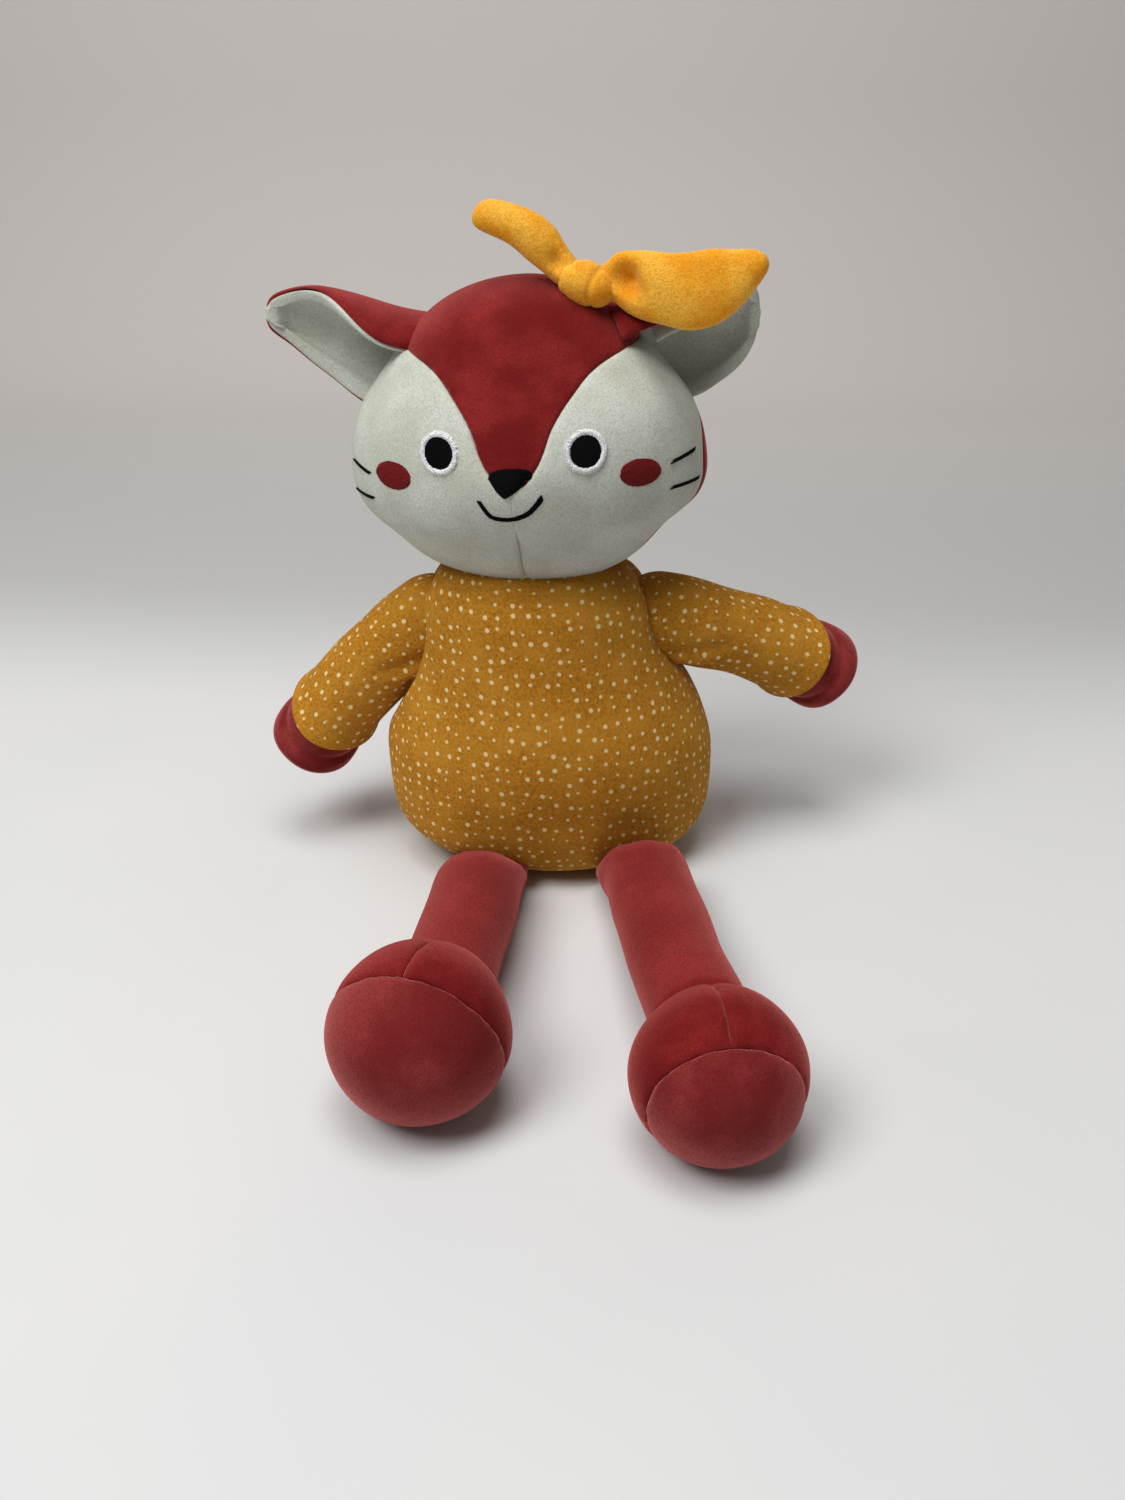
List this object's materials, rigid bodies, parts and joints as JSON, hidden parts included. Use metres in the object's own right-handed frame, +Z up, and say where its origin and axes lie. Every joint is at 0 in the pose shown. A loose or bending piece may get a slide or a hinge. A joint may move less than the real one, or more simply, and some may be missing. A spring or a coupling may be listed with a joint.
{
  "type": "plush fox",
  "caption": "Seated long-legged plush fox in a dotted jumper, with a hair bow; the head, ears, bow ends, arms and legs each bend at their sewn roots.",
  "frame": {"origin": "on the surface that the fox sits on, under the middle of the torso's base", "axes": "+Z up; the fox looks along -Y; +X is the viewer's right"},
  "size_m": [0.2308, 0.2451, 0.2401],
  "materials": {
    "jumper": "matte yellow jersey with small pale dots",
    "red_plush": "short-pile velour",
    "sole_plush": "short-pile velour, brushed",
    "cream_plush": "short-pile velour",
    "bow_velvet": "velvet pile",
    "black_thread": "satin-stitch embroidery",
    "white_thread": "satin-stitch embroidery",
    "red_thread": "satin-stitch embroidery",
    "filling": "polyester fibre filling"
  },
  "bodies": {
    "torso": {"torso_front": "jumper", "torso_back": "jumper", "torso_filling": "filling"},
    "neck": {"neck": "jumper"},
    "head": {"forehead": "red_plush", "face_left": "cream_plush", "face_right": "cream_plush", "head_back": "red_plush", "head_filling": "filling", "nose": "black_thread", "eye_ring_left": "white_thread", "eye_ring_right": "white_thread", "pupil_left": "black_thread", "pupil_right": "black_thread", "cheek_left": "red_thread", "cheek_right": "red_thread", "mouth": "black_thread", "whisker_upper_left": "black_thread", "whisker_lower_left": "black_thread", "whisker_upper_right": "black_thread", "whisker_lower_right": "black_thread", "bow_knot": "bow_velvet"},
    "ear_left": {"ear_lining_left": "cream_plush", "ear_back_left": "red_plush"},
    "ear_right": {"ear_lining_right": "cream_plush", "ear_back_right": "red_plush"},
    "bow_left": {"bow_end_left": "bow_velvet"},
    "bow_right": {"bow_end_right": "bow_velvet"},
    "arm_left": {"sleeve_left": "jumper", "hand_left": "red_plush", "arm_filling_left": "filling"},
    "arm_right": {"sleeve_right": "jumper", "hand_right": "red_plush", "arm_filling_right": "filling"},
    "leg_left": {"leg_left": "red_plush", "foot_outer_left": "red_plush", "foot_inner_left": "red_plush", "sole_left": "sole_plush", "leg_filling_left": "filling"},
    "leg_right": {"leg_right": "red_plush", "foot_outer_right": "red_plush", "foot_inner_right": "red_plush", "sole_right": "sole_plush", "leg_filling_right": "filling"}
  },
  "joints": [
    {"name": "head_turn", "type": "hinge", "parent": "torso", "child": "neck", "pos_m": [-0.008, 0, 0.122], "axis": [0, 0, 1], "range_deg": [-30, 40], "stiffness_Nm_per_rad": 0.15},
    {"name": "head_nod", "type": "hinge", "parent": "neck", "child": "head", "pos_m": [-0.008, 0, 0.122], "axis": [0.9956, -0.0871, 0.0349], "range_deg": [-10, 4], "stiffness_Nm_per_rad": 0.25},
    {"name": "ear_left_bend", "type": "hinge", "parent": "head", "child": "ear_left", "pos_m": [-0.05096, 0.01681, 0.19755], "axis": [0.1041, -0.0091, 0.9945], "range_deg": [-12, 12], "stiffness_Nm_per_rad": 0.02},
    {"name": "ear_right_bend", "type": "hinge", "parent": "head", "child": "ear_right", "pos_m": [0.03186, 0.00956, 0.20045], "axis": [-0.173, 0.0151, 0.9848], "range_deg": [-6, 12], "stiffness_Nm_per_rad": 0.02},
    {"name": "bow_left_flap", "type": "hinge", "parent": "head", "child": "bow_left", "pos_m": [0.00454, -0.01114, 0.21908], "axis": [0.0872, 0.9962, 0], "range_deg": [-12, 15], "stiffness_Nm_per_rad": 0.02},
    {"name": "bow_right_flap", "type": "hinge", "parent": "head", "child": "bow_right", "pos_m": [0.01904, -0.0124, 0.21614], "axis": [-0.0872, -0.9962, 0], "range_deg": [-5, 15], "stiffness_Nm_per_rad": 0.02},
    {"name": "arm_left_raise", "type": "hinge", "parent": "torso", "child": "arm_left", "pos_m": [-0.04645, 0, 0.09601], "axis": [0.1392, 0.9903, 0], "range_deg": [-2, 62], "stiffness_Nm_per_rad": 0.05},
    {"name": "arm_right_raise", "type": "hinge", "parent": "torso", "child": "arm_right", "pos_m": [0.03943, 0, 0.09702], "axis": [0.2419, -0.9703, 0], "range_deg": [-24, 38], "stiffness_Nm_per_rad": 0.05},
    {"name": "leg_left_raise", "type": "hinge", "parent": "torso", "child": "leg_left", "pos_m": [-0.02598, -0.04452, 0.0172], "axis": [-1, 0, 0], "range_deg": [-90, 30], "stiffness_Nm_per_rad": 0.05},
    {"name": "leg_right_raise", "type": "hinge", "parent": "torso", "child": "leg_right", "pos_m": [0.032, -0.05194, 0.0172], "axis": [-1, 0, 0], "range_deg": [-90, 30], "stiffness_Nm_per_rad": 0.05}
  ]
}
